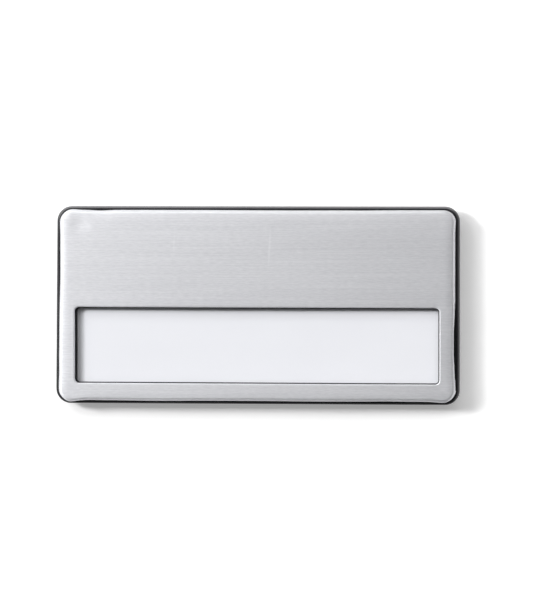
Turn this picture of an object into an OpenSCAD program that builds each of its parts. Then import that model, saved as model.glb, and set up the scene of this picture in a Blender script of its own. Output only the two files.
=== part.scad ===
// Name badge: a pressed sheet face plate on a moulded body, a card behind the
// plate's window and a flat magnet bar on the back. It lies on the magnet bar.
// +X runs along the badge, +Y up the face, +Z out of the face.

/* [Badge] */
// Length of the body, the longest piece
badge_l = 68; // [50:0.5:90]
// Width of the body
badge_w = 33.1; // [28:0.1:45]
// Corner radius of the body, seen from above
corner_r = 2.5; // [1.5:0.05:3.2]

/* [Face plate] */
// Thickness of the sheet
sheet_t = 0.5; // [0.3:0.05:0.6]
// Height of the plate's face above the body's flange
plate_rise = 1.8; // [1.6:0.1:3]
// Flange showing beside the plate at its left and right ends
rim_x = 0.6; // [0.3:0.05:1.2]
// Flange showing beside the plate along its long sides
rim_y = 0.6; // [0.3:0.05:1.2]
// Corner radius of the plate, seen from above
plate_corner_r = 2; // [1.3:0.1:2.1]
// Outer radius of the plate's rolled edge
roll_r = 0.8; // [0.6:0.05:1]

/* [Window] */
// Plate beyond each end of the window
frame_end = 2.75; // [2:0.05:8]
// Plate below the window
frame_foot = 2.9; // [2.9:0.1:6]
// Width of the window
window_w = 12.7; // [8:0.1:16]
// Corner radius of the window
window_r = 0.7; // [0.4:0.1:1.5]
// Body showing all round inside the plate's window
ledge = 0.17; // [0.05:0.01:0.35]

/* [Card relief] */
// How far the plate's right edge is drawn in beside the window
relief_d = 0.27; // [0.1:0.01:0.5]
// Radius of the drawn-in edge, seen from above
relief_r = 60; // [45:1:90]

/* [Body] */
// Thickness of the flange, the low part that stands out round the plate
flange_t = 1.15; // [0.8:0.05:2]
// Rounding of the flange's upper edge
flange_round = 0.45; // [0.1:0.05:0.7]
// Rounding of the back's edge
back_round = 0.3; // [0.1:0.05:0.5]
// Gap between neighbouring pieces
gap = 0.05; // [0.03:0.01:0.1]

/* [Name card] */
// Thickness of the card
card_t = 0.23; // [0.15:0.01:0.35]
// Card hidden beside each long side of the window
card_lap = 0.8; // [0.4:0.1:0.9]
// Wall at the closed end of the card's pocket
pocket_wall = 0.5; // [0.4:0.05:1]
// Height of the pocket
pocket_h = 0.55; // [0.4:0.05:0.8]

/* [Magnet bar] */
// Length of the bar
bar_l = 45; // [30:1:48]
// Width of the bar
bar_w = 13; // [8:0.5:16]
// Thickness of the bar
bar_t = 2.2; // [1.5:0.1:4]
// Corner radius of the bar, seen from above
bar_corner_r = 2; // [1:0.5:4]
// Rounding of the bar's edges
bar_round = 0.35; // [0.1:0.05:0.5]
// Depth of the seat in the body's back that takes the bar
seat_d = 0.4; // [0.2:0.05:0.6]

/* [Hidden] */
$fn = 96;

// Heights, from the magnet bar's back up
back_z = bar_t + gap - seat_d;
flange_z = back_z + flange_t;
face_z = flange_z + plate_rise;
roll_z = face_z - roll_r;
skirt_z = flange_z + gap;
plateau_z = face_z - sheet_t - gap;
card_z = flange_z + gap / 2;

plate_l = badge_l - 2 * rim_x;
plate_w = badge_w - 2 * rim_y;
window_l = plate_l - 2 * frame_end;
window_y = (window_w - plate_w) / 2 + frame_foot;

// The plateau is the body's raised part, which fills the plate
plateau_l = plate_l - 2 * (sheet_t + gap);
plateau_w = plate_w - 2 * (sheet_t + gap);
plateau_r = plate_corner_r - sheet_t - gap;
plateau_round = roll_r - sheet_t + gap;
plateau_foot = back_z + back_round;

card_l = plateau_l - 2 * (pocket_wall + gap);
card_w = window_w + 2 * card_lap;
pocket_w = card_w + 4 * gap;
relief_l = pocket_w + 8 * gap;
// How far a cutting shape runs past the face that it opens
past = 1;

// A rectangle about the origin with round corners
module round_rect(l, w, r) {
    square([l - 2 * r, w], center = true);
    square([l, w - 2 * r], center = true);
    for (x = [-1, 1], y = [-1, 1])
        translate([x * (l / 2 - r), y * (w / 2 - r)])
            circle(r);
}

// Carries a section round a rounded rectangle of l by w and corner radius r.
// The section lies at x <= 0 with the rectangle's edge at x = 0, and its y is height.
module swept_edge(l, w, r) {
    for (side = [0:3]) {
        along = side % 2 == 0 ? w : l;
        across = side % 2 == 0 ? l : w;
        rotate(90 * side) {
            translate([across / 2, along / 2 - r, 0])
                rotate([90, 0, 0])
                    linear_extrude(along - 2 * r)
                        children();
            translate([across / 2 - r, along / 2 - r, 0])
                rotate_extrude(angle = 90)
                    translate([r, 0])
                        children();
        }
    }
}

// A quarter of a disc of radius r about the origin, in the corner that x and y point to
module quarter_disc(r, x, y) {
    intersection() {
        circle(r);
        translate([min(x, 0) * r, min(y, 0) * r])
            square(r);
    }
}

// The edge section of a moulded slab from z0 to z1, rounded at its top and foot
module slab_section(depth, z0, z1, top_r, foot_r) {
    translate([-depth, z0 + foot_r])
        square([depth, z1 - z0 - top_r - foot_r]);
    translate([-depth, z1 - top_r])
        square([depth - top_r, top_r]);
    translate([-top_r, z1 - top_r])
        quarter_disc(top_r, 1, 1);
    translate([-depth, z0])
        square([depth - foot_r, foot_r]);
    translate([-foot_r, z0 + foot_r])
        quarter_disc(foot_r, 1, -1);
}

// A slab of l by w with round corners, from z0 to z1, with rounded edges
module moulded_slab(l, w, r, z0, z1, top_r, foot_r) {
    edge = r / 2;
    swept_edge(l, w, r)
        slab_section(edge, z0, z1, top_r, foot_r);
    translate([0, 0, z0])
        linear_extrude(z1 - z0)
            round_rect(l - 2 * edge, w - 2 * edge, r - edge);
}

// The plate's rolled edge and skirt
module plate_section() {
    translate([-sheet_t, skirt_z])
        square([sheet_t, roll_z - skirt_z]);
    translate([-roll_r, roll_z])
        difference() {
            quarter_disc(roll_r, 1, 1);
            circle(roll_r - sheet_t);
        }
}

// What is taken from the plate's right end: the skirt beside the card's way in,
// and a shallow bow of the rolled edge above it
module card_relief() {
    translate([plate_l / 2 - roll_r, window_y - relief_l / 2, skirt_z - past])
        cube([roll_r + past, relief_l, roll_z - skirt_z + past]);
    intersection() {
        translate([plate_l / 2 - relief_d + relief_r, window_y, skirt_z])
            cylinder(r = relief_r, h = plate_rise + past);
        translate([plate_l / 2 - roll_r, window_y - relief_l / 2, skirt_z])
            cube([roll_r + past, relief_l, plate_rise + past]);
    }
}

module face_plate() {
    color("silver")
        difference() {
            union() {
                swept_edge(plate_l, plate_w, plate_corner_r)
                    plate_section();
                translate([0, 0, face_z - sheet_t])
                    linear_extrude(sheet_t)
                        round_rect(plate_l - 2 * roll_r, plate_w - 2 * roll_r, plate_corner_r - roll_r);
            }
            translate([0, window_y, face_z - sheet_t - past])
                linear_extrude(sheet_t + 2 * past)
                    round_rect(window_l, window_w, window_r);
            card_relief();
        }
}

// The space that the card slides into from the right end
module card_pocket() {
    translate([-card_l / 2 - gap, window_y - pocket_w / 2, flange_z])
        cube([badge_l, pocket_w, pocket_h]);
}

// The shallow seat for the magnet bar
module bar_seat() {
    translate([0, 0, back_z - past])
        linear_extrude(seat_d + past)
            round_rect(bar_l + 2 * gap, bar_w + 2 * gap, bar_corner_r + gap);
}

module body() {
    color([0.13, 0.13, 0.14])
        difference() {
            union() {
                moulded_slab(badge_l, badge_w, corner_r, back_z, flange_z, flange_round, back_round);
                moulded_slab(plateau_l, plateau_w, plateau_r, plateau_foot, plateau_z, plateau_round, back_round);
            }
            translate([0, window_y, flange_z])
                linear_extrude(plate_rise)
                    round_rect(window_l - 2 * ledge, window_w - 2 * ledge, window_r - ledge);
            card_pocket();
            bar_seat();
        }
}

module name_card() {
    color("white")
        translate([-card_l / 2, window_y - card_w / 2, card_z])
            cube([card_l, card_w, card_t]);
}

module magnet_bar() {
    color("gray")
        moulded_slab(bar_l, bar_w, bar_corner_r, 0, bar_t, bar_round, bar_round);
}

face_plate();
body();
name_card();
magnet_bar();
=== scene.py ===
import math

import bmesh
import bpy
import numpy as np
from mathutils import Matrix, Vector


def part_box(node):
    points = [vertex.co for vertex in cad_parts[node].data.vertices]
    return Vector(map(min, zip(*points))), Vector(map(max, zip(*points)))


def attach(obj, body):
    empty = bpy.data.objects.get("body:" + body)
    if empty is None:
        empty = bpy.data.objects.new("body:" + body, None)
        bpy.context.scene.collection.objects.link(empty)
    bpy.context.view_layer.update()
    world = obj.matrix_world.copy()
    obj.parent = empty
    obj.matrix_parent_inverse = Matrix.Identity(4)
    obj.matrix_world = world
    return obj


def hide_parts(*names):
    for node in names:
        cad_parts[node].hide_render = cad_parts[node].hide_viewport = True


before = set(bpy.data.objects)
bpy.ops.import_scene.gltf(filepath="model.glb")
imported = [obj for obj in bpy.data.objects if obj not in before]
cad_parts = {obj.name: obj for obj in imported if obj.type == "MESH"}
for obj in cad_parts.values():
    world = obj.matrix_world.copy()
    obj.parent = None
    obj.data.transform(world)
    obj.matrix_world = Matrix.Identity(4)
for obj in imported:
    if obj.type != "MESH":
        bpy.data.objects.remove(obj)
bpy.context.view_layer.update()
scene = bpy.context.scene
mm = 0.001


def boxOf(node):
    # a CAD node's box in mm
    return [[c / mm for c in corner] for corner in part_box(node)]


plateBox, bodyBox = boxOf("face_plate"), boxOf("body")
cardBox, barBox = boxOf("name_card"), boxOf("magnet_bar")
print("frame loaded, face at", round(plateBox[1][2], 3), "mm")


# small helpers for node trees

def addNode(tree, kind, **values):
    node = tree.nodes.new(kind)
    for name, value in values.items():
        setattr(node, name, value)
    return node


def wire(tree, source, target):
    tree.links.new(source, target)


def mathNode(tree, operation, first, second=None):
    node = addNode(tree, "ShaderNodeMath", operation=operation)
    for socket, value in zip(node.inputs, (first, second)):
        if value is None:
            continue
        if isinstance(value, (int, float)):
            socket.default_value = value
        else:
            wire(tree, value, socket)
    return node.outputs[0]


def setInput(modifier, name, value):
    # inputs are set by the socket's identifier
    for item in modifier.node_group.interface.items_tree:
        if item.item_type == "SOCKET" and item.in_out == "INPUT" and item.name == name:
            modifier[item.identifier] = value
            return
    raise KeyError(name)


def linkObject(name, mesh):
    made = bpy.data.objects.new(name, mesh)
    scene.collection.objects.link(made)
    return made


def smoothSteps(low, high, x):
    t = np.clip((x - low) / (high - low), 0, 1)
    return t * t * (3 - 2 * t)


# materials

def newMaterial(name):
    material = bpy.data.materials.new(name)
    material.use_nodes = True
    tree = material.node_tree
    shader = tree.nodes["Principled BSDF"]
    return material, tree, shader


def noiseOn(tree, vector, stretch, detail=2.0, roughness=0.5, place=(0, 0, 0)):
    # noise whose cells are 1 / stretch metres along each axis
    mapping = addNode(tree, "ShaderNodeMapping")
    mapping.inputs["Scale"].default_value = stretch
    mapping.inputs["Location"].default_value = place
    wire(tree, vector, mapping.inputs["Vector"])
    noise = addNode(tree, "ShaderNodeTexNoise")
    noise.inputs["Scale"].default_value = 1.0
    noise.inputs["Detail"].default_value = detail
    noise.inputs["Roughness"].default_value = roughness
    wire(tree, mapping.outputs[0], noise.inputs["Vector"])
    return noise.outputs["Fac"]


def spread(tree, value, low, high, fromLow=0.3, fromHigh=0.7):
    # noise lies mostly between 0.3 and 0.7
    node = addNode(tree, "ShaderNodeMapRange")
    wire(tree, value, node.inputs["Value"])
    node.inputs["From Min"].default_value = fromLow
    node.inputs["From Max"].default_value = fromHigh
    node.inputs["To Min"].default_value = low
    node.inputs["To Max"].default_value = high
    return node.outputs["Result"]


def ramp(tree, value, low, high, margin):
    # from the low colour to the high one, with a margin left at both ends of the pattern
    node = addNode(tree, "ShaderNodeValToRGB")
    for element, place, colour in zip(node.color_ramp.elements, (margin, 1 - margin), (low, high)):
        element.position, element.color = place, (*colour, 1)
    wire(tree, value, node.inputs["Fac"])
    return node.outputs["Color"]


def mixTwo(tree, first, second, share):
    # the first pattern by its share and the second by the rest
    return mathNode(tree, "ADD", mathNode(tree, "MULTIPLY", first, share),
                    mathNode(tree, "MULTIPLY", second, 1 - share))


def mixNode(tree, kind, share, first, second):
    # the node also has hidden sockets of the other kinds
    node = addNode(tree, "ShaderNodeMix", data_type=kind)
    wire(tree, share, node.inputs["Factor"])
    ends = [socket for socket in node.inputs if socket.type == kind][-2:]
    for socket, value in zip(ends, (first, second)):
        if isinstance(value, tuple):
            socket.default_value = value
        else:
            wire(tree, value, socket)
    return [socket for socket in node.outputs if socket.type == kind][-1]


def addBump(tree, shader, height, finish):
    bump = addNode(tree, "ShaderNodeBump")
    bump.inputs["Strength"].default_value = finish["bump"]
    bump.inputs["Distance"].default_value = finish["bumpDepth"] * mm
    wire(tree, height, bump.inputs["Height"])
    wire(tree, bump.outputs[0], shader.inputs["Normal"])


brushedFinish = {
    "darkGrey": (0.742, 0.747, 0.776),
    "lightGrey": (0.905, 0.908, 0.932),
    "margin": 0.34,           # less of it gives a weaker pattern
    "strokes": [              # width and length in mm, share, detail and place in the noise
        (0.2, 1.1, 0.38, 2.0, (0, 0, 0)),    # short fine scratches
        (0.34, 28.0, 0.22, 1.0, (2, 5, 0)),  # thin lines that run on
        (5.0, 60.0, 0.14, 2.0, (7, 3, 0)),   # broad long strokes
        (3.4, 14.0, 0.04, 1.0, (3, 11, 0)),  # where the brush pressed harder
    ],
    "strokeGrain": 0.6,
    "level": 0.11,            # brings the mean of all strokes back to a half
    "roughLow": 0.57,
    "roughHigh": 0.63,
    "anisotropy": 0.5,
    "bump": 0.2,
    "bumpDepth": 0.02,        # mm
    "rollPaintedShade": 0.1,         # painted shade on the rolled edge: it is this much darker
    "fade": 0.05,             # painted light falloff: lighter at the left end and darker at the right by this much
    "paintedLightReach": 33.0,        # mm from the middle
    "paintedHighlightStreaks": [            # painted highlights: light streaks where small creases catch the light, which also shift roughness and bump; x, y, length, width in mm, direction in degrees, strength
        (2.36, 9.8, 8.4, 0.5, 86.6, 0.14),
        (7.4, 8.9, 1.8, 0.3, 0, 0.15),
        (-13.7, 10.6, 4.5, 0.4, 87.0, 0.08),
    ],
}


def brushedPlateMetal(finish):
    material, tree, shader = newMaterial("brushedPlateMetal")
    along = addNode(tree, "ShaderNodeUVMap", uv_map="brushing").outputs["UV"]
    lines = finish["level"]
    for width, length, share, detail, place in finish["strokes"]:
        stretch = (1 / (length * mm), 1 / (width * mm), 1)
        stroke = noiseOn(tree, along, stretch, detail, finish["strokeGrain"], place)
        lines = mathNode(tree, "ADD", mathNode(tree, "MULTIPLY", stroke, share), lines)
    for x, y, length, width, degrees, strength in finish["paintedHighlightStreaks"]:
        # a soft ellipse round each painted highlight streak
        mapping = addNode(tree, "ShaderNodeMapping", vector_type="TEXTURE")
        mapping.inputs["Location"].default_value = (x * mm, y * mm, 0)
        mapping.inputs["Rotation"].default_value = (0, 0, math.radians(degrees))
        mapping.inputs["Scale"].default_value = (length / 2 * mm, width / 2 * mm, 1)
        wire(tree, along, mapping.inputs["Vector"])
        mark = addNode(tree, "ShaderNodeTexGradient", gradient_type="SPHERICAL")
        wire(tree, mapping.outputs[0], mark.inputs[0])
        lines = mathNode(tree, "ADD", lines, mathNode(tree, "MULTIPLY", mark.outputs["Fac"], strength))
    # painted shade on the rolled edge, by how far over the roll the sheet has run
    rolled = addNode(tree, "ShaderNodeAttribute", attribute_name="rolled").outputs["Fac"]
    split = addNode(tree, "ShaderNodeSeparateXYZ")
    wire(tree, along, split.inputs[0])
    # painted light falloff along the plate's length, baked into its colour
    end = finish["paintedLightReach"] * mm
    paintedLightFalloff = spread(tree, split.outputs["X"], 1 + finish["fade"], 1 - finish["fade"], -end, end)
    paintedRollShade = spread(tree, rolled, 1, 1 - finish["rollPaintedShade"], 0, 1)
    tone = ramp(tree, lines, finish["darkGrey"], finish["lightGrey"], finish["margin"])
    shaded = addNode(tree, "ShaderNodeVectorMath", operation="SCALE")
    wire(tree, tone, shaded.inputs[0])
    wire(tree, mathNode(tree, "MULTIPLY", paintedRollShade, paintedLightFalloff), shaded.inputs["Scale"])
    wire(tree, shaded.outputs[0], shader.inputs["Base Color"])
    wire(tree, spread(tree, lines, finish["roughLow"], finish["roughHigh"]), shader.inputs["Roughness"])
    shader.inputs["Metallic"].default_value = 1.0
    shader.inputs["Anisotropic"].default_value = finish["anisotropy"]
    shader.inputs["Anisotropic Rotation"].default_value = 0.25  # gloss spreads across the lines
    tangent = addNode(tree, "ShaderNodeTangent", direction_type="UV_MAP", uv_map="brushing")
    wire(tree, tangent.outputs[0], shader.inputs["Tangent"])
    addBump(tree, shader, lines, finish)
    return material


bodyFinish = {
    "dark": (0.009, 0.009, 0.011),
    "light": (0.020, 0.020, 0.023),
    "paintedSheen": (0.20, 0.20, 0.208),  # painted sheen: the grey the outer edge takes where it catches the light
    "paintedSheenLow": 0.75,        # share of the painted sheen that is left where the pattern is dark
    "margin": 0.35,
    "grain": 0.12,            # mm
    "grainShare": 0.6,
    "cloudPerMetre": (160, 160, 160),
    "roughLow": 0.24,
    "roughHigh": 0.38,
    "bump": 0.35,
    "bumpDepth": 0.02,        # mm
}


def grainedBlackPlastic(finish):
    material, tree, shader = newMaterial("grainedBlackPlastic")
    place = addNode(tree, "ShaderNodeTexCoord").outputs["Object"]
    per = 1 / (finish["grain"] * mm)
    grain = noiseOn(tree, place, (per, per, per), detail=2.0, roughness=0.6)
    cloud = noiseOn(tree, place, finish["cloudPerMetre"], detail=3.0, place=(5, 1, 2))
    mixed = mixTwo(tree, grain, cloud, finish["grainShare"])
    plain = ramp(tree, mixed, finish["dark"], finish["light"], finish["margin"])
    # painted sheen: the outer edge lightened to grey where it catches the light
    paintedEdgeSheen = addNode(tree, "ShaderNodeAttribute", attribute_name="paintedEdgeSheen").outputs["Fac"]
    patchy = mathNode(tree, "MULTIPLY", paintedEdgeSheen, spread(tree, mixed, finish["paintedSheenLow"], 1.0))
    toned = mixNode(tree, "RGBA", patchy, plain, (*finish["paintedSheen"], 1))
    wire(tree, toned, shader.inputs["Base Color"])
    wire(tree, spread(tree, mixed, finish["roughLow"], finish["roughHigh"]), shader.inputs["Roughness"])
    addBump(tree, shader, grain, finish)
    return material


cardFinish = {
    "low": (0.814, 0.821, 0.860),
    "high": (0.835, 0.843, 0.881),
    "margin": 0.3,
    "fibre": 0.35,            # mm
    "fibreStretch": 1.6,      # times longer along the card than across it
    "fibreShare": 0.4,
    "cloudPerMetre": (70, 110, 70),
    "roughLow": 0.69,
    "roughHigh": 0.81,
    "specular": 0.3,
    "bump": 0.12,
    "bumpDepth": 0.01,        # mm
}


def smoothCardPaper(finish):
    material, tree, shader = newMaterial("smoothCardPaper")
    place = addNode(tree, "ShaderNodeTexCoord").outputs["Object"]
    per = 1 / (finish["fibre"] * mm)
    fibre = noiseOn(tree, place, (per, per * finish["fibreStretch"], per), detail=4.0, roughness=0.65)
    cloud = noiseOn(tree, place, finish["cloudPerMetre"], place=(2, 9, 4))
    mixed = mixTwo(tree, fibre, cloud, finish["fibreShare"])
    tone = ramp(tree, mixed, finish["low"], finish["high"], finish["margin"])
    wire(tree, tone, shader.inputs["Base Color"])
    wire(tree, spread(tree, fibre, finish["roughLow"], finish["roughHigh"]), shader.inputs["Roughness"])
    shader.inputs["Specular IOR Level"].default_value = finish["specular"]
    addBump(tree, shader, fibre, finish)
    return material


barFinish = {
    "dark": (0.53, 0.53, 0.515),
    "light": (0.62, 0.615, 0.595),
    "margin": 0.32,
    "cloudShare": 0.6,
    "cloudPerMetre": (220, 220, 220),
    "scuffPerMetre": (500, 4200, 2500),  # scuffs run along the bar
    "roughLow": 0.27,
    "roughHigh": 0.36,
    "bump": 0.08,
    "bumpDepth": 0.02,        # mm
}


def nickelPlating(finish):
    material, tree, shader = newMaterial("nickelPlating")
    place = addNode(tree, "ShaderNodeTexCoord").outputs["Object"]
    cloud = noiseOn(tree, place, finish["cloudPerMetre"], detail=4.0, roughness=0.6)
    scuff = noiseOn(tree, place, finish["scuffPerMetre"], place=(1, 5, 3))
    mixed = mixTwo(tree, cloud, scuff, finish["cloudShare"])
    tone = ramp(tree, mixed, finish["dark"], finish["light"], finish["margin"])
    wire(tree, tone, shader.inputs["Base Color"])
    wire(tree, spread(tree, mixed, finish["roughLow"], finish["roughHigh"]), shader.inputs["Roughness"])
    shader.inputs["Metallic"].default_value = 1.0
    addBump(tree, shader, scuff, finish)
    return material


# face plate: a sheet section carried round a rounded outline and drawn in to the window

plate = {
    "length": plateBox[1][0] - plateBox[0][0],
    "width": plateBox[1][1] - plateBox[0][1],
    "cornerRadius": 2.0,
    "face": plateBox[1][2],
    "foot": plateBox[0][2],
    "sheet": 0.5,
    "rollRadius": 0.54,
    "windowLength": 61.3,
    "windowWidth": 12.7,
    "windowCorner": 0.7,
    "windowX": 0.11,          # the window was punched a little to the right
    "frameFoot": 2.9,         # plate below the window
    "edgeRounding": 0.2,      # the punched edge, on the face side
    "underChamfer": (0.05, 0.04),  # and on the underside, across and down
    "footRounding": 0.06,     # the skirt's foot
    "cornerSteps": 14,
    "longCuts": 110,
    "shortCuts": 56,
    "sharpAngle": 35,         # degrees between faces that meet in a crisp edge
    "dome": 0.2,              # the face falls this far from the middle to the two ends
    "crownDrop": 0.09,        # and a little towards its edges
    "crownReach": 1.7,
    "topFall": 0.16,          # and a little more towards the top
    "topReach": 6.0,
    "bowDepth": 0.15,         # the right edge beside the window is drawn in
    "bowSet": 0.1,            # from this far inside the outline
    "bowMiddle": -6.3,
    "bowCore": 1.5,           # full depth to this far from the bow's middle
    "bowHalf": 5.9,
    "slotHalf": 7.45,         # half of the skirt's cut beside the card's way in
    "slotRun": (-0.3, 0.1),   # each end of the cut runs in over this band about slotHalf
    "slotRest": 0.04,         # share of the skirt's height left in the cut
    "rolledFrom": 0.1,        # the roll's painted shade begins this far over its edge
    "rolledFull": 0.8,        # and is full here
    "endFrom": 27.0,          # the two ends waver from this far out
    "endFull": 32.0,          # and fully beyond here
    "sideFrom": 3.0,          # the long sides waver this close to their edge
    "sideFull": 1.0,
}
plate["windowY"] = plateBox[0][1] + plate["frameFoot"] + plate["windowWidth"] / 2

sectionRows = {
    "face": (0.01, 0.025, 0.045, 0.07, 0.1, 0.13, 0.165, 0.2, 0.24, 0.29,
             0.35, 0.42, 0.5, 0.59, 0.68, 0.77, 0.86, 0.94, 1.0),  # share of the way to the window
    "under": (1.0, 0.85, 0.65, 0.45, 0.28, 0.15, 0.06),
    "skirt": (0.3, 0.6),      # above the foot
    "belowRoll": 0.08,
    "rollSteps": 20,
    "innerSteps": 6,
    "punchSteps": 7,
}


def plateSection():
    # rows of (out, height, reach, setback, unrolled): out is from the outline, reach runs
    # from 0 at the roll to 1 at the window, setback is from the window's edge,
    # and unrolled is how far the sheet has run on from the face's edge
    r, t, e = plate["rollRadius"], plate["sheet"], plate["edgeRounding"]
    face, foot, soft = plate["face"], plate["foot"], plate["footRounding"]
    under, rollHeight = face - t, face - r
    quarter = math.pi / 2
    skirt = [foot + soft, *(foot + rise for rise in sectionRows["skirt"]),
             rollHeight - sectionRows["belowRoll"]]

    def skirtRow(out, height, more=0):
        return out, height, 0, 0, r * quarter + rollHeight - height + more

    def rollRow(radius, angle):
        height = rollHeight + radius * math.sin(angle)
        return radius * math.cos(angle) - r, height, 0, 0, r * (quarter - angle)

    rows = [skirtRow(-soft, foot, soft)]
    rows += [skirtRow(0, height) for height in skirt]
    steps = sectionRows["rollSteps"]
    rows += [rollRow(r, quarter * i / steps) for i in range(steps + 1)]
    rows += [(-r, face, reach, e, 0) for reach in sectionRows["face"]]
    steps = sectionRows["punchSteps"]
    for i in range(1, steps + 1):
        angle = quarter * i / steps
        rows.append((-r, face - e + e * math.cos(angle), 1, e - e * math.sin(angle), 0))
    across, down = plate["underChamfer"]
    rows.append((-r, under + down, 1, 0, 0))
    rows += [(-r, under, reach, across, 0) for reach in sectionRows["under"]]
    steps = sectionRows["innerSteps"]
    rows += [rollRow(r - t, quarter * (1 - i / steps)) for i in range(steps + 1)]
    rows += [skirtRow(-t, height) for height in skirt[::-1]]
    rows.append(skirtRow(-t + soft, foot, soft))
    return rows


def sectionObject(rows):
    # Curve to Mesh turns a profile's y to minus z on a flat path that runs left-handed round
    mesh = bpy.data.meshes.new("sheetSection")
    count = len(rows)
    mesh.from_pydata([(row[0] * mm, -row[1] * mm, 0) for row in rows],
                     [(i, (i + 1) % count) for i in range(count)], [])
    for name, place in (("out", 0), ("reach", 2), ("setback", 3), ("unrolled", 4)):
        layer = mesh.attributes.new(name, "FLOAT", "POINT")
        layer.data.foreach_set("value", [row[place] for row in rows])
    return linkObject("sheetSection", mesh)


outlineSizes = ("Length", "Width", "Corner Radius")
outlineCounts = ("Corner Steps", "Long Cuts", "Short Cuts")


def addInputs(tree, kind, names):
    for name in names:
        tree.interface.new_socket(name, in_out="INPUT", socket_type=kind)


def outlineTree():
    # a rounded outline with the same point count whatever its size
    tree = bpy.data.node_groups.new("roundedOutline", "GeometryNodeTree")
    addInputs(tree, "NodeSocketFloat", outlineSizes)
    addInputs(tree, "NodeSocketInt", outlineCounts)
    tree.interface.new_socket("Outline", in_out="OUTPUT", socket_type="NodeSocketGeometry")
    given = addNode(tree, "NodeGroupInput").outputs
    box = addNode(tree, "GeometryNodeCurvePrimitiveQuadrilateral")
    wire(tree, given["Length"], box.inputs["Width"])
    wire(tree, given["Width"], box.inputs["Height"])
    corners = addNode(tree, "GeometryNodeFilletCurve", mode="POLY")
    wire(tree, box.outputs[0], corners.inputs["Curve"])
    wire(tree, given["Corner Steps"], corners.inputs["Count"])
    wire(tree, given["Corner Radius"], corners.inputs["Radius"])
    index = addNode(tree, "GeometryNodeInputIndex").outputs[0]
    perCorner = mathNode(tree, "ADD", given["Corner Steps"], 1.0)
    lastPoint = mathNode(tree, "COMPARE", mathNode(tree, "MODULO", index, perCorner), given["Corner Steps"])
    cornerNumber = mathNode(tree, "FLOOR", mathNode(tree, "DIVIDE", index, perCorner))
    shortSide = mathNode(tree, "MODULO", cornerNumber, 2.0)
    difference = mathNode(tree, "SUBTRACT", given["Short Cuts"], given["Long Cuts"])
    cuts = mathNode(tree, "ADD", given["Long Cuts"], mathNode(tree, "MULTIPLY", shortSide, difference))
    sides = addNode(tree, "GeometryNodeSubdivideCurve")
    wire(tree, corners.outputs[0], sides.inputs["Curve"])
    wire(tree, mathNode(tree, "MULTIPLY", lastPoint, cuts), sides.inputs["Cuts"])
    wire(tree, sides.outputs[0], addNode(tree, "NodeGroupOutput").inputs[0])
    return tree


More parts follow.
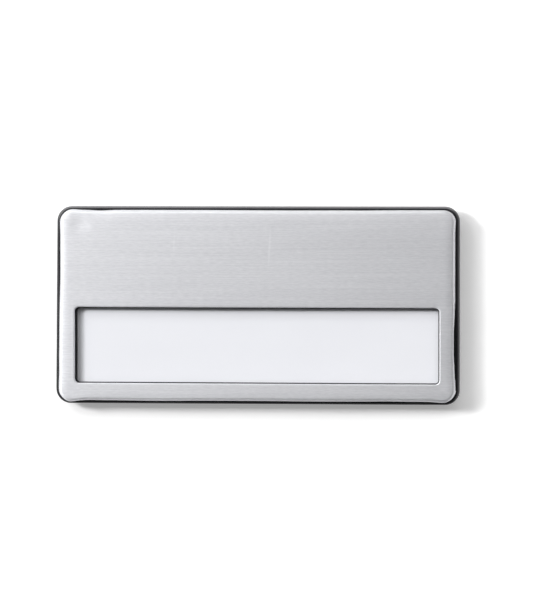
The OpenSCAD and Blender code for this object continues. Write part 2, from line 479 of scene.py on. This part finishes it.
def rolledPlateTree(outline):
    tree = bpy.data.node_groups.new("rolledPlate", "GeometryNodeTree")
    windowSizes = ("Window Length", "Window Width", "Window Corner")
    tree.interface.new_socket("Geometry", in_out="OUTPUT", socket_type="NodeSocketGeometry")
    addInputs(tree, "NodeSocketObject", ("Section",))
    addInputs(tree, "NodeSocketFloat", outlineSizes + windowSizes + ("Window X", "Window Y"))
    addInputs(tree, "NodeSocketInt", outlineCounts)
    addInputs(tree, "NodeSocketMaterial", ("Finish",))
    given = addNode(tree, "NodeGroupInput").outputs

    outlines = []
    for names in (outlineSizes, windowSizes):
        group = addNode(tree, "GeometryNodeGroup", node_tree=outline)
        for source, target in zip(names + outlineCounts, outlineSizes + outlineCounts):
            wire(tree, given[source], group.inputs[target])
        outlines.append(group.outputs[0])

    # the window stands off the plate's middle
    moved = addNode(tree, "GeometryNodeTransform")
    wire(tree, outlines[1], moved.inputs["Geometry"])
    offset = addNode(tree, "ShaderNodeCombineXYZ")
    wire(tree, given["Window X"], offset.inputs["X"])
    wire(tree, given["Window Y"], offset.inputs["Y"])
    wire(tree, offset.outputs[0], moved.inputs["Translation"])
    window = moved.outputs[0]

    # the outward direction along either outline
    tangent = addNode(tree, "GeometryNodeInputTangent").outputs[0]
    outward = addNode(tree, "ShaderNodeVectorMath", operation="CROSS_PRODUCT")
    wire(tree, tangent, outward.inputs[0])
    outward.inputs[1].default_value = (0, 0, 1)

    numbered = addNode(tree, "GeometryNodeStoreNamedAttribute", data_type="INT", domain="POINT")
    numbered.inputs["Name"].default_value = "station"
    wire(tree, outlines[0], numbered.inputs["Geometry"])
    wire(tree, addNode(tree, "GeometryNodeInputIndex").outputs[0], numbered.inputs["Value"])
    marked = addNode(tree, "GeometryNodeStoreNamedAttribute", data_type="FLOAT_VECTOR", domain="POINT")
    marked.inputs["Name"].default_value = "outward"
    wire(tree, numbered.outputs[0], marked.inputs["Geometry"])
    wire(tree, outward.outputs[0], marked.inputs["Value"])

    drawn = addNode(tree, "GeometryNodeObjectInfo")
    wire(tree, given["Section"], drawn.inputs["Object"])
    profile = addNode(tree, "GeometryNodeMeshToCurve")
    wire(tree, drawn.outputs["Geometry"], profile.inputs["Mesh"])
    swept = addNode(tree, "GeometryNodeCurveToMesh")
    wire(tree, marked.outputs[0], swept.inputs["Curve"])
    wire(tree, profile.outputs[0], swept.inputs["Profile Curve"])

    def stored(name, kind):
        node = addNode(tree, "GeometryNodeInputNamedAttribute", data_type=kind)
        node.inputs["Name"].default_value = name
        return node.outputs["Attribute"]

    station = stored("station", "INT")
    reach, setback = stored("reach", "FLOAT"), stored("setback", "FLOAT")
    samples = []
    for value in (addNode(tree, "GeometryNodeInputPosition").outputs[0], outward.outputs[0]):
        sample = addNode(tree, "GeometryNodeSampleIndex", data_type="FLOAT_VECTOR", domain="POINT")
        wire(tree, window, sample.inputs["Geometry"])
        wire(tree, value, sample.inputs["Value"])
        wire(tree, station, sample.inputs["Index"])
        samples.append(sample.outputs[0])
    back = addNode(tree, "ShaderNodeVectorMath", operation="SCALE")
    wire(tree, samples[1], back.inputs[0])
    wire(tree, mathNode(tree, "MULTIPLY", setback, mm), back.inputs["Scale"])
    edge = addNode(tree, "ShaderNodeVectorMath", operation="ADD")
    wire(tree, samples[0], edge.inputs[0])
    wire(tree, back.outputs[0], edge.inputs[1])

    # every row keeps its own height while it is drawn in
    here = addNode(tree, "GeometryNodeInputPosition").outputs[0]
    split = addNode(tree, "ShaderNodeSeparateXYZ")
    wire(tree, here, split.inputs[0])
    splitEdge = addNode(tree, "ShaderNodeSeparateXYZ")
    wire(tree, edge.outputs[0], splitEdge.inputs[0])
    target = addNode(tree, "ShaderNodeCombineXYZ")
    wire(tree, splitEdge.outputs["X"], target.inputs["X"])
    wire(tree, splitEdge.outputs["Y"], target.inputs["Y"])
    wire(tree, split.outputs["Z"], target.inputs["Z"])
    placed = addNode(tree, "GeometryNodeSetPosition")
    wire(tree, swept.outputs[0], placed.inputs["Geometry"])
    wire(tree, mixNode(tree, "VECTOR", reach, here, target.outputs[0]), placed.inputs["Position"])

    real = addNode(tree, "GeometryNodeRealizeInstances")
    wire(tree, placed.outputs[0], real.inputs[0])
    finished = addNode(tree, "GeometryNodeSetMaterial")
    wire(tree, real.outputs[0], finished.inputs["Geometry"])
    wire(tree, given["Finish"], finished.inputs["Material"])
    wire(tree, finished.outputs[0], addNode(tree, "NodeGroupOutput").inputs[0])
    return tree


def plainMesh(source, name):
    # the modifier's result as a mesh of its own
    bpy.context.view_layer.update()
    ready = source.evaluated_get(bpy.context.evaluated_depsgraph_get())
    mesh = bpy.data.meshes.new_from_object(ready)
    mesh.name = name
    return mesh


def readPoints(mesh):
    points = np.empty(len(mesh.vertices) * 3)
    mesh.vertices.foreach_get("co", points)
    return points.reshape(-1, 3) / mm


def writePoints(mesh, points):
    mesh.vertices.foreach_set("co", (points * mm).ravel())
    mesh.update()


def readValues(mesh, name, width=1):
    values = np.empty(len(mesh.vertices) * width)
    mesh.attributes[name].data.foreach_get("vector" if width == 3 else "value", values)
    return values.reshape(-1, 3) if width == 3 else values


def closeAndTurn(mesh, sharpAngle):
    # faces out, smooth, with the crisp edges kept
    shape = bmesh.new()
    shape.from_mesh(mesh)
    bmesh.ops.recalc_face_normals(shape, faces=shape.faces)
    shape.to_mesh(mesh)
    shape.free()
    mesh.polygons.foreach_set("use_smooth", [True] * len(mesh.polygons))
    mesh.set_sharp_from_angle(angle=math.radians(sharpAngle))


# what pressing and handling did to the plate, in mm: place along the side, shift outwards,
# spread; the widest spreads shift a whole side
plateWaves = {
    "left": [(0.0, -0.04, 60.0), (14.0, 0.11, 1.6), (5.0, -0.07, 3.5), (-11.2, -0.04, 1.5)],
    "right": [(0.0, -0.09, 60.0), (14.6, 0.10, 1.5), (-13.6, 0.14, 2.0), (-1.0, 0.05, 1.6)],
    "top": [(0.0, -0.04, 200.0), (-31.4, 0.10, 1.2), (-26.3, -0.11, 1.7),
            (6.0, -0.06, 13.0), (18.2, -0.03, 3.0)],
    "bottom": [(-31.3, 0.26, 1.4), (-17.0, 0.07, 6.5), (10.0, 0.04, 7.0),
               (22.0, -0.03, 3.0), (31.4, 0.16, 1.5)],
}
plateLean = 0.38              # the left end leans in by this much at the top
dentMargin = (0.2, 1.0)       # dents fade out over this band inside the outline
faceDents = [                 # x, y, depth, spread along x and y
    (-29.9, 13.6, 0.06, 1.5, 1.2),
    (30.9, -13.2, 0.035, 1.0, 0.9),
    (30.2, 13.0, 0.020, 1.2, 1.0),
]


def wave(side, along):
    return sum(shift * np.exp(-((along - place) / width) ** 2) for place, shift, width in plateWaves[side])


def upTheFace(y, width):
    # 0 along the bottom edge and 1 along the top
    return np.clip(y / width + 0.5, 0, 1)


def fromOutline(x, y, length, width, radius):
    # how far a point lies inside a rounded outline
    qx, qy = np.abs(x) - length / 2 + radius, np.abs(y) - width / 2 + radius
    return radius - np.hypot(np.maximum(qx, 0), np.maximum(qy, 0)) - np.minimum(np.maximum(qx, qy), 0)


def faceDrop(x, y):
    # the face falls to its ends and edges, and three of its corners are dented
    depth = fromOutline(x, y, plate["length"], plate["width"], plate["cornerRadius"])
    drop = plate["crownDrop"] * np.clip(1 - depth / plate["crownReach"], 0, 1) ** 2
    drop += plate["dome"] * (2 * x / plate["length"]) ** 2
    drop += plate["topFall"] * np.clip(1 - (plate["width"] / 2 - y) / plate["topReach"], 0, 1) ** 2
    for x0, y0, deep, wide, high in faceDents:
        dent = np.exp(-((x - x0) / wide) ** 2 - ((y - y0) / high) ** 2)
        drop += deep * dent * smoothSteps(*dentMargin, depth)
    return drop


def formPlate(mesh):
    p = readPoints(mesh)
    reach = readValues(mesh, "reach")
    outward = readValues(mesh, "outward", 3)[:, :2]
    halfL, halfW = plate["length"] / 2, plate["width"] / 2
    rollHeight = plate["face"] - plate["rollRadius"]
    rim = 1 - reach

    # the brushing's own map: the sheet as it lay before its edges were rolled over
    spreadOut = readValues(mesh, "unrolled") - readValues(mesh, "out") - plate["rollRadius"]
    along = p[:, :2] + outward * np.where(reach > 0, 0, spreadOut)[:, None]

    # how far over the roll the painted shade reaches
    rolled = mesh.attributes.new("rolled", "FLOAT", "POINT")
    rollShadeShare = smoothSteps(plate["rolledFrom"], plate["rolledFull"], readValues(mesh, "unrolled"))
    rolled.data.foreach_set("value", rollShadeShare * (reach == 0))

    # the sheet's underside drops with its face
    p[:, 2] -= faceDrop(p[:, 0], p[:, 1]) * smoothSteps(plate["foot"], rollHeight, p[:, 2])

    # the four sides waver
    x, y = p[:, 0].copy(), p[:, 1].copy()
    ends = plate["endFrom"], plate["endFull"]
    sides = halfW - plate["sideFrom"], halfW - plate["sideFull"]
    lean = plateLean * upTheFace(y, plate["width"])
    p[:, 0] -= smoothSteps(*ends, -x) * rim * (wave("left", y) - lean)
    p[:, 0] += smoothSteps(*ends, x) * rim * wave("right", y)
    p[:, 1] += smoothSteps(*sides, y) * rim * wave("top", x)
    p[:, 1] -= smoothSteps(*sides, -y) * rim * wave("bottom", x)

    # the bow in the right edge, and the skirt's cut beside the card's way in
    outer = (reach == 0) & (x > plate["endFull"])
    fromBow = np.abs(y - plate["bowMiddle"])
    bow = plate["bowDepth"] * (1 - smoothSteps(plate["bowCore"], plate["bowHalf"], fromBow))
    bowed = np.minimum(p[:, 0], halfL - plate["bowSet"] - bow)
    p[:, 0] = np.where(outer & (fromBow < plate["bowHalf"]), bowed, p[:, 0])
    slotFrom, slotTo = (plate["slotHalf"] + run for run in plate["slotRun"])
    keep = np.maximum(smoothSteps(slotFrom, slotTo, np.abs(y - plate["windowY"])), plate["slotRest"])
    skirt = outer & (p[:, 2] < rollHeight)
    p[:, 2] = np.where(skirt, rollHeight - (rollHeight - p[:, 2]) * keep, p[:, 2])
    writePoints(mesh, p)

    layer = mesh.uv_layers.new(name="brushing")
    corners = np.empty(len(mesh.loops), dtype=np.int64)
    mesh.loops.foreach_get("vertex_index", corners)
    layer.uv.foreach_set("vector", (along[corners] * mm).astype(np.float32).ravel())


def makePlate(finish):
    section = sectionObject(plateSection())
    source = linkObject("plateSource", bpy.data.meshes.new("plateSource"))
    modifier = source.modifiers.new("rolledPlate", "NODES")
    modifier.node_group = rolledPlateTree(outlineTree())
    setInput(modifier, "Section", section)
    sizes = {"Length": "length", "Width": "width", "Corner Radius": "cornerRadius",
             "Window Length": "windowLength", "Window Width": "windowWidth",
             "Window Corner": "windowCorner", "Window X": "windowX", "Window Y": "windowY"}
    for name, key in sizes.items():
        setInput(modifier, name, plate[key] * mm)
    for name, key in zip(outlineCounts, ("cornerSteps", "longCuts", "shortCuts")):
        setInput(modifier, name, plate[key])
    setInput(modifier, "Finish", finish)
    mesh = plainMesh(source, "facePlate")
    source.modifiers.remove(modifier)
    for helper in (source, section):
        bpy.data.objects.remove(helper)
    formPlate(mesh)
    for name in ("out", "reach", "setback", "unrolled", "outward", "station"):
        mesh.attributes.remove(mesh.attributes[name])
    closeAndTurn(mesh, plate["sharpAngle"])
    return linkObject("facePlate", mesh)


# the moulded and cut pieces are rings joined one to the next

ringSteps = {"corner": 10, "long": 40, "short": 24}
leastRadius = 0.05
guard = 0.15                  # a ring this far inside a flat face's border keeps its shading flat


def ring(length, width, radius, height, middle=(0, 0)):
    points = []
    halfL, halfW = length / 2 - radius, width / 2 - radius
    corners = [(halfL, halfW, 0), (-halfL, halfW, 90), (-halfL, -halfW, 180), (halfL, -halfW, 270)]
    for place, (x, y, start) in enumerate(corners):
        for i in range(ringSteps["corner"] + 1):
            angle = math.radians(start + 90 * i / ringSteps["corner"])
            points.append((x + radius * math.cos(angle), y + radius * math.sin(angle)))
        nextX, nextY, nextStart = corners[(place + 1) % 4]
        angle = math.radians(nextStart)
        end = (nextX + radius * math.cos(angle), nextY + radius * math.sin(angle))
        cuts = ringSteps["short" if place % 2 else "long"]
        begin = points[-1]
        for i in range(1, cuts + 1):
            t = i / (cuts + 1)
            points.append((begin[0] + (end[0] - begin[0]) * t, begin[1] + (end[1] - begin[1]) * t))
    return [(x + middle[0], y + middle[1], height) for x, y in points]


def roundedRings(length, width, radius, edge, low, high, steps=5, turn=1, middle=(0, 0)):
    # a quarter round from a wall, at the height low, to a flat, at the height high;
    # turn is 1 where the flat lies inside the wall and -1 where it lies outside
    rings = []
    for i in range(steps + 1):
        angle = math.pi / 2 * i / steps
        inset = edge * (1 - math.cos(angle)) * turn
        height = low + (high - low) * math.sin(angle)
        corner = max(radius - inset, leastRadius)
        rings.append(ring(length - 2 * inset, width - 2 * inset, corner, height, middle))
    return rings


def grown(size, more):
    # length, width and corner radius of an outline that is moved outwards all round
    return size[0] + 2 * more, size[1] + 2 * more, size[2] + more


def joinRings(name, rings):
    points = [point for one in rings for point in one]
    count = len(rings[0])
    faces = [list(range(count))[::-1], list(range((len(rings) - 1) * count, len(rings) * count))]
    for row in range(len(rings) - 1):
        for i in range(count):
            j = (i + 1) % count
            faces.append((row * count + i, row * count + j, (row + 1) * count + j, (row + 1) * count + i))
    mesh = bpy.data.meshes.new(name)
    mesh.from_pydata([tuple(c * mm for c in point) for point in points], [], faces)
    return mesh


body = {
    "length": bodyBox[1][0] - bodyBox[0][0],
    "width": bodyBox[1][1] - bodyBox[0][1],
    "cornerRadius": 2.5,
    "back": bodyBox[0][2],
    "flange": 3.0,
    "top": bodyBox[1][2],
    "flangeRound": 0.45,
    "backRound": 0.3,
    "windowRound": 0.1,
    "plateauRound": 0.32,
    "rootRound": 0.12,        # between the plateau and the flange
    "seatRound": 0.08,
    "sharpAngle": 35,         # degrees between faces that meet in a crisp edge
    "plateauInset": 0.7,      # the plateau stands this far inside the plate's outline
    "plateauRadius": 1.3,
    "ledge": 0.17,            # body showing inside the plate's window, below
    "ledgeLeft": 0.32,
    "ledgeTop": 0.2,
    "ledgeRight": 0.2,
    "pocketHeight": 0.55,
    "pocketLap": 0.9,         # pocket beyond each long side of the plate's window
    "pocketEnd": 32.35,
    "pocketCorner": 0.1,
    "cutPast": 0.1,           # the card's way in is cut this far past the wall on both sides
    "cutBelow": 0.01,         # and below the pocket's floor
    "seatDepth": 0.4,
    "seatLength": 45.1,
    "seatWidth": 13.1,
    "seatRadius": 2.05,
    "lean": 0.26,             # the left end leans in by this much at the top
    "leanFrom": 29.0,
    "leanFull": 32.0,
    "sheenReach": 0.38,        # painted sheen reaches this far in from the outer edge, most along the top
    "sheenTop": 1.0,
    "sheenRight": 0.35,
    "sheenBottom": 0.15,
    "sheenFrom": 1.2,          # each side's painted sheen begins this far in from it
    "sheenFull": 0.3,          # and is full from here out
    "sheenCore": 0.5,          # share of the reach that has the full painted sheen
}


def makeBody(finish):
    b, flange, back, top = body, body["flange"], body["back"], body["top"]
    window = (plate["windowX"] + (b["ledgeLeft"] - b["ledgeRight"]) / 2,
              plate["windowY"] + (b["ledge"] - b["ledgeTop"]) / 2)
    middle = (0, plate["windowY"])
    ceiling = flange + b["pocketHeight"]

    # length, width and corner radius of each part
    hole = (plate["windowLength"] - b["ledgeLeft"] - b["ledgeRight"],
            plate["windowWidth"] - b["ledge"] - b["ledgeTop"], plate["windowCorner"] - b["ledge"])
    pocket = (2 * b["pocketEnd"], plate["windowWidth"] + 2 * b["pocketLap"], b["pocketCorner"])
    plateau = (plate["length"] - 2 * b["plateauInset"], plate["width"] - 2 * b["plateauInset"],
               b["plateauRadius"])
    outer = (b["length"], b["width"], b["cornerRadius"])
    seat = (b["seatLength"], b["seatWidth"], b["seatRadius"])

    # from the pocket's floor up to the window, over the plateau and flange, and round to the seat
    rings = [ring(*pocket, flange, middle), ring(*pocket, ceiling, middle), ring(*hole, ceiling, window)]
    edge = b["windowRound"]
    rings += roundedRings(*hole, edge, top - edge, top, steps=4, turn=-1, middle=window)
    edge = b["plateauRound"]
    rings += roundedRings(*plateau, edge, top - edge, top)[::-1]
    edge = b["rootRound"]
    rings += roundedRings(*plateau, edge, flange + edge, flange, steps=3, turn=-1)
    edge = b["flangeRound"]
    rings += roundedRings(*outer, edge, flange - edge, flange, steps=8)[::-1]
    edge = b["backRound"]
    rings += roundedRings(*outer, edge, back + edge, back)
    rings.append(ring(*grown(outer, -edge - guard), back))
    edge = b["seatRound"]
    rings.append(ring(*grown(seat, edge + guard), back))
    rings += roundedRings(*seat, edge, back + edge, back, steps=3, turn=-1)[::-1]
    rings.append(ring(*seat, back + b["seatDepth"]))
    mesh = joinRings("moulding", rings)
    closeAndTurn(mesh, b["sharpAngle"])
    moulding = linkObject("moulding", mesh)

    # the card's way in, at the right end
    cutter = bpy.data.meshes.new("slotCutter")
    shape = bmesh.new()
    bmesh.ops.create_cube(shape, size=1)
    low = (b["pocketEnd"] - b["cutPast"], middle[1] - pocket[1] / 2, flange - b["cutBelow"])
    high = (plate["length"] / 2 + b["cutPast"], middle[1] + pocket[1] / 2, ceiling)
    for v in shape.verts:
        v.co = Vector([(h if c > 0 else l) * mm for c, l, h in zip(v.co, low, high)])
    shape.to_mesh(cutter)
    shape.free()
    cutting = linkObject("slotCutter", cutter)
    modifier = moulding.modifiers.new("slot", "BOOLEAN")
    modifier.object = cutting
    modifier.operation = "DIFFERENCE"
    modifier.solver = "EXACT"
    made = plainMesh(moulding, "badgeBody")
    for helper in (moulding, cutting):
        bpy.data.objects.remove(helper)

    p = readPoints(made)
    inside = fromOutline(p[:, 0], p[:, 1], *outer)
    halfL, halfW = b["length"] / 2, b["width"] / 2
    # painted sheen along the outer edge: full at the top, less at the right and bottom, none at the left
    sides = ((b["sheenTop"], halfW, p[:, 1]), (b["sheenRight"], halfL, p[:, 0]),
             (b["sheenBottom"], halfW, -p[:, 1]))
    paintedSheen = np.max([strength * smoothSteps(half - b["sheenFrom"], half - b["sheenFull"], place)
                     for strength, half, place in sides], axis=0)
    paintedEdgeSheen = made.attributes.new("paintedEdgeSheen", "FLOAT", "POINT")
    paintedEdgeSheen.data.foreach_set("value", paintedSheen * (1 - smoothSteps(b["sheenCore"], 1, inside / b["sheenReach"])))

    # the plateau follows the sheet above it
    plateauTop = top - b["plateauRound"]
    p[:, 2] -= faceDrop(p[:, 0], p[:, 1]) * np.clip((p[:, 2] - ceiling) / (plateauTop - ceiling), 0, 1)
    lean = b["lean"] * upTheFace(p[:, 1], b["width"])
    p[:, 0] += smoothSteps(b["leanFrom"], b["leanFull"], -p[:, 0]) * lean
    writePoints(made, p)
    closeAndTurn(made, b["sharpAngle"])
    made.materials.clear()
    made.materials.append(finish)
    return linkObject("badgeBody", made)


card = {
    "name": "cardSheet",
    "cornerRadius": 0.12,
    "edge": 0.05,
    "edgeSteps": 3,
    "sharpAngle": 40,
}
bar = {
    "name": "magnetBar",
    "cornerRadius": 2.0,
    "edge": 0.35,
    "edgeSteps": 7,
    "sharpAngle": 40,
}


def makeSlab(slab, box, finish):
    # a flat oblong with its upper and lower edges rounded
    low, high = box
    length, width = high[0] - low[0], high[1] - low[1]
    middle = (0, (high[1] + low[1]) / 2)
    outline, edge, steps = (length, width, slab["cornerRadius"]), slab["edge"], slab["edgeSteps"]
    rings = roundedRings(*outline, edge, low[2] + edge, low[2], steps, middle=middle)[::-1]
    rings += roundedRings(*outline, edge, high[2] - edge, high[2], steps, middle=middle)
    flatL, flatW, flatR = grown(outline, -edge - guard)
    flat = (flatL, flatW, max(flatR, leastRadius))
    rings = [ring(*flat, low[2], middle), *rings, ring(*flat, high[2], middle)]
    mesh = joinRings(slab["name"], rings)
    closeAndTurn(mesh, slab["sharpAngle"])
    mesh.materials.append(finish)
    return linkObject(slab["name"], mesh)


pieces = [
    (makePlate(brushedPlateMetal(brushedFinish)), "face_plate", "plate_metal"),
    (makeBody(grainedBlackPlastic(bodyFinish)), "body", "body_plastic"),
    (makeSlab(card, cardBox, smoothCardPaper(cardFinish)), "name_card", "card_paper"),
    (makeSlab(bar, barBox, nickelPlating(barFinish)), "magnet_bar", "bar_metal"),
]
for piece, node, slot in pieces:
    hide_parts(node)
    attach(piece, "root")
    print(piece.name, "built,", len(piece.data.polygons), "faces")


# floor, lights and camera

table = {
    "half": 4.0,              # metres
    "tone": 0.93,
    "glow": 0.26,
    "rough": 0.9,
    "specular": 0.1,
}


def makeFloor():
    mesh = bpy.data.meshes.new("studioFloor")
    half, tone = table["half"], table["tone"]
    mesh.from_pydata([(-half, -half, 0), (half, -half, 0), (half, half, 0), (-half, half, 0)],
                     [], [(0, 1, 2, 3)])
    material, _, shader = newMaterial("paleTable")
    shader.inputs["Base Color"].default_value = (tone, tone, tone, 1)
    shader.inputs["Emission Color"].default_value = (1, 1, 1, 1)
    shader.inputs["Emission Strength"].default_value = table["glow"]
    shader.inputs["Roughness"].default_value = table["rough"]
    shader.inputs["Specular IOR Level"].default_value = table["specular"]
    mesh.materials.append(material)
    return linkObject("studioFloor", mesh)


floor = makeFloor()

studio = {                    # soft boxes: place in metres, size across and down, watts
    "keyBox": ((-1.445, 0.571, 1.309), (0.42, 0.34), 23.0),
    "keyWide": ((-1.445, 0.571, 1.309), (1.25, 0.34), 11.6),
    "keyHigh": ((-1.015, 1.015, 1.45), (0.34, 0.34), 5.8),
    "backWall": ((0.0, 1.0, 0.75), (2.0, 0.5), 5.3),
    "backHigh": ((0.0, 1.0, 1.5), (2.0, 0.56), 4.9),
    "frontWall": ((0.0, -1.0, 0.75), (2.0, 0.5), 0.4),
    "leftLow": ((-1.0, 0.0, 0.25), (0.5, 2.0), 0.8),
    "topRight": ((0.6, 0.2, 1.2), (0.5, 0.5), 0.25),
    "rightWall": ((1.0, 0.0, 0.75), (0.5, 2.0), 0.8),
    "rightLow": ((1.0, 0.0, 0.25), (0.5, 2.0), 2.3),
}
ambient = 0.05


def softBox(name, place, size, power):
    light = bpy.data.lights.new(name, "AREA")
    light.shape = "RECTANGLE"
    light.size, light.size_y = size
    light.energy = power
    lamp = bpy.data.objects.new(name, light)
    back = Vector(place).normalized()
    across = Vector((0, 1, 0)).cross(back).normalized()
    lamp.location = place
    lamp.rotation_mode = "QUATERNION"
    lamp.rotation_quaternion = Matrix((across, back.cross(across), back)).transposed().to_quaternion()
    lamp.visible_camera = False
    scene.collection.objects.link(lamp)


for name, settings in studio.items():
    softBox(name, *settings)
world = bpy.data.worlds.new("studio")
scene.world = world
world.use_nodes = True
sky = world.node_tree.nodes["Background"]
sky.inputs["Color"].default_value = (1, 1, 1, 1)
sky.inputs["Strength"].default_value = ambient
scene.view_settings.view_transform = "Standard"

shot = {
    "lean": (0.12, 0.03),     # the camera's lean to the right and to the top, as tangents
    "distance": 0.9,
    "frame": (540, 610),
    "pixelsPerMm": 5.994,     # at the badge's face
    "middle": (255.4, 305.6),  # where the face's middle falls in the frame
    "film": 36,               # mm, along the frame's longer side
    "clip": (0.01, 20),
}


def makeCamera():
    lens = bpy.data.cameras.new("camera")
    camera = bpy.data.objects.new("camera", lens)
    scene.collection.objects.link(camera)
    face = Vector((0, 0, plate["face"] * mm))
    back = Vector((*shot["lean"], 1)).normalized()
    up = (Vector((0, 1, 0)) - back * back.y).normalized()
    right = up.cross(back)
    scale = shot["pixelsPerMm"] / mm
    across, down = (size / 2 - place for size, place in zip(shot["frame"], shot["middle"]))
    aim = face + right * (across / scale) - up * (down / scale)
    camera.location = aim + back * shot["distance"]
    camera.rotation_mode = "QUATERNION"
    camera.rotation_quaternion = Matrix((right, up, back)).transposed().to_quaternion()
    lens.sensor_width = shot["film"]
    lens.lens = shot["film"] * shot["distance"] / (shot["frame"][1] / scale)
    lens.clip_start, lens.clip_end = shot["clip"]
    scene.camera = camera


makeCamera()
print("stage set")
